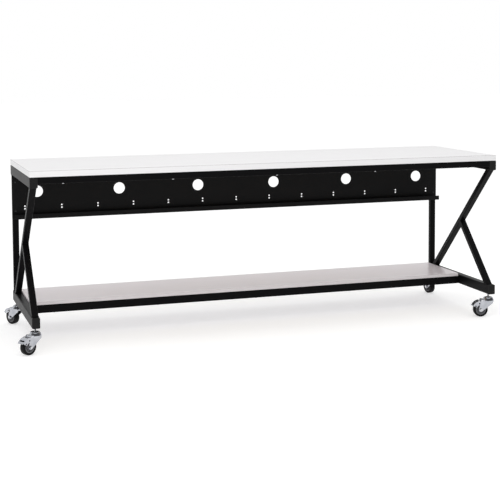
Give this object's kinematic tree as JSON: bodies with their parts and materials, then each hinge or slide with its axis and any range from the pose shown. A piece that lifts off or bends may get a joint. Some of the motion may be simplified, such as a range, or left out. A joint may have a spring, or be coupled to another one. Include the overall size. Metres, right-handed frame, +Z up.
{
  "type": "assembly table",
  "caption": "Long mobile assembly table: white laminate top, black K-shaped side frames, punched back panel with cable tray, half-depth lower shelf and braked swivel casters.",
  "frame": {"origin": "on the floor, under the middle of the frame's footprint", "axes": "+X to the right along the table's length, seen from the open front; +Y towards the back panel; +Z up"},
  "size_m": [2.5171, 0.7899, 0.8638],
  "materials": {
    "worktop_core": "pressed particle board, raw",
    "worktop_laminate": "smooth white laminate, low sheen",
    "worktop_edge": "white edge band, satin",
    "frame_powder_coat": "black powder coat, fine texture, satin",
    "panel_powder_coat": "black powder coat, matte",
    "cap_plastic": "moulded black plastic, satin",
    "shelf_laminate": "pale pinkish grey wood-print laminate on board, low sheen",
    "shelf_edge": "pale edge band, satin",
    "black_fasteners": "black zinc",
    "zinc_fasteners": "bright zinc plate",
    "caster_zinc": "bright zinc plate",
    "bearing_steel": "polished, greased",
    "caster_chrome": "bright chrome plate",
    "wheel_hub": "moulded grey plastic",
    "wheel_tyre": "smooth black rubber"
  },
  "bodies": {
    "table": {"worktop_core": "worktop_core", "worktop_laminate": "worktop_laminate", "worktop_edge_band": "worktop_edge", "left_top_rail": "frame_powder_coat", "left_bottom_rail": "frame_powder_coat", "left_rear_post": "frame_powder_coat", "left_long_brace": "frame_powder_coat", "left_short_brace": "frame_powder_coat", "right_top_rail": "frame_powder_coat", "right_bottom_rail": "frame_powder_coat", "right_rear_post": "frame_powder_coat", "right_long_brace": "frame_powder_coat", "right_short_brace": "frame_powder_coat", "rail_end_caps": "cap_plastic", "front_top_rail": "frame_powder_coat", "rear_top_rail": "frame_powder_coat", "back_panel": "panel_powder_coat", "shelf_board": "shelf_laminate", "shelf_edge_band": "shelf_edge", "shelf_front_rail": "frame_powder_coat", "shelf_rear_rail": "frame_powder_coat", "top_rail_brackets": "frame_powder_coat", "shelf_rail_brackets": "frame_powder_coat", "bracket_bolts": "black_fasteners", "panel_screws": "black_fasteners", "worktop_screws": "zinc_fasteners", "shelf_screws": "zinc_fasteners", "caster_nuts": "zinc_fasteners", "front_left_caster_stem": "caster_zinc", "front_right_caster_stem": "caster_zinc", "rear_left_caster_stem": "caster_zinc", "rear_right_caster_stem": "caster_zinc"},
    "front_left_swivel": {"front_left_caster_fork": "caster_chrome", "front_left_caster_balls": "bearing_steel", "front_left_caster_axle": "caster_zinc", "front_left_caster_pedal_pin": "caster_zinc"},
    "front_left_wheel": {"front_left_caster_hub": "wheel_hub", "front_left_caster_tyre": "wheel_tyre"},
    "front_left_brake": {"front_left_caster_pedal": "caster_chrome"},
    "front_right_swivel": {"front_right_caster_fork": "caster_chrome", "front_right_caster_balls": "bearing_steel", "front_right_caster_axle": "caster_zinc", "front_right_caster_pedal_pin": "caster_zinc"},
    "front_right_wheel": {"front_right_caster_hub": "wheel_hub", "front_right_caster_tyre": "wheel_tyre"},
    "front_right_brake": {"front_right_caster_pedal": "caster_chrome"},
    "rear_left_swivel": {"rear_left_caster_fork": "caster_chrome", "rear_left_caster_balls": "bearing_steel", "rear_left_caster_axle": "caster_zinc", "rear_left_caster_pedal_pin": "caster_zinc"},
    "rear_left_wheel": {"rear_left_caster_hub": "wheel_hub", "rear_left_caster_tyre": "wheel_tyre"},
    "rear_left_brake": {"rear_left_caster_pedal": "caster_chrome"},
    "rear_right_swivel": {"rear_right_caster_fork": "caster_chrome", "rear_right_caster_balls": "bearing_steel", "rear_right_caster_axle": "caster_zinc", "rear_right_caster_pedal_pin": "caster_zinc"},
    "rear_right_wheel": {"rear_right_caster_hub": "wheel_hub", "rear_right_caster_tyre": "wheel_tyre"},
    "rear_right_brake": {"rear_right_caster_pedal": "caster_chrome"}
  },
  "joints": [
    {"name": "front_left_swivel_turn", "type": "hinge", "parent": "table", "child": "front_left_swivel", "pos_m": [-1.20015, -0.3175, 0.09], "axis": [0, 0, 1], "continuous": true},
    {"name": "front_left_wheel_roll", "type": "hinge", "parent": "front_left_swivel", "child": "front_left_wheel", "pos_m": [-1.23652, -0.3385, 0.0381], "axis": [0.5, -0.866, 0], "continuous": true},
    {"name": "front_left_brake_press", "type": "hinge", "parent": "front_left_swivel", "child": "front_left_brake", "pos_m": [-1.23133, -0.3355, 0.087], "axis": [0.5, -0.866, 0], "range_deg": [0, 8.5]},
    {"name": "front_right_swivel_turn", "type": "hinge", "parent": "table", "child": "front_right_swivel", "pos_m": [1.20015, -0.3175, 0.09], "axis": [0, 0, 1], "continuous": true},
    {"name": "front_right_wheel_roll", "type": "hinge", "parent": "front_right_swivel", "child": "front_right_wheel", "pos_m": [1.15958, -0.30663, 0.0381], "axis": [-0.2588, -0.9659, 0], "continuous": true},
    {"name": "front_right_brake_press", "type": "hinge", "parent": "front_right_swivel", "child": "front_right_brake", "pos_m": [1.16538, -0.30818, 0.087], "axis": [-0.2588, -0.9659, 0], "range_deg": [0, 8.5]},
    {"name": "rear_left_swivel_turn", "type": "hinge", "parent": "table", "child": "rear_left_swivel", "pos_m": [-1.20015, 0.3175, 0.09], "axis": [0, 0, 1], "continuous": true},
    {"name": "rear_left_wheel_roll", "type": "hinge", "parent": "rear_left_swivel", "child": "rear_left_wheel", "pos_m": [-1.22241, 0.35312, 0.0381], "axis": [-0.848, -0.5299, 0], "continuous": true},
    {"name": "rear_left_brake_press", "type": "hinge", "parent": "rear_left_swivel", "child": "rear_left_brake", "pos_m": [-1.21923, 0.34803, 0.087], "axis": [-0.848, -0.5299, 0], "range_deg": [0, 8.5]},
    {"name": "rear_right_swivel_turn", "type": "hinge", "parent": "table", "child": "rear_right_swivel", "pos_m": [1.20015, 0.3175, 0.09], "axis": [0, 0, 1], "continuous": true},
    {"name": "rear_right_wheel_roll", "type": "hinge", "parent": "rear_right_swivel", "child": "rear_right_wheel", "pos_m": [1.19286, 0.35886, 0.0381], "axis": [-0.9848, -0.1736, 0], "continuous": true},
    {"name": "rear_right_brake_press", "type": "hinge", "parent": "rear_right_swivel", "child": "rear_right_brake", "pos_m": [1.1939, 0.35295, 0.087], "axis": [-0.9848, -0.1736, 0], "range_deg": [0, 8.5]}
  ]
}
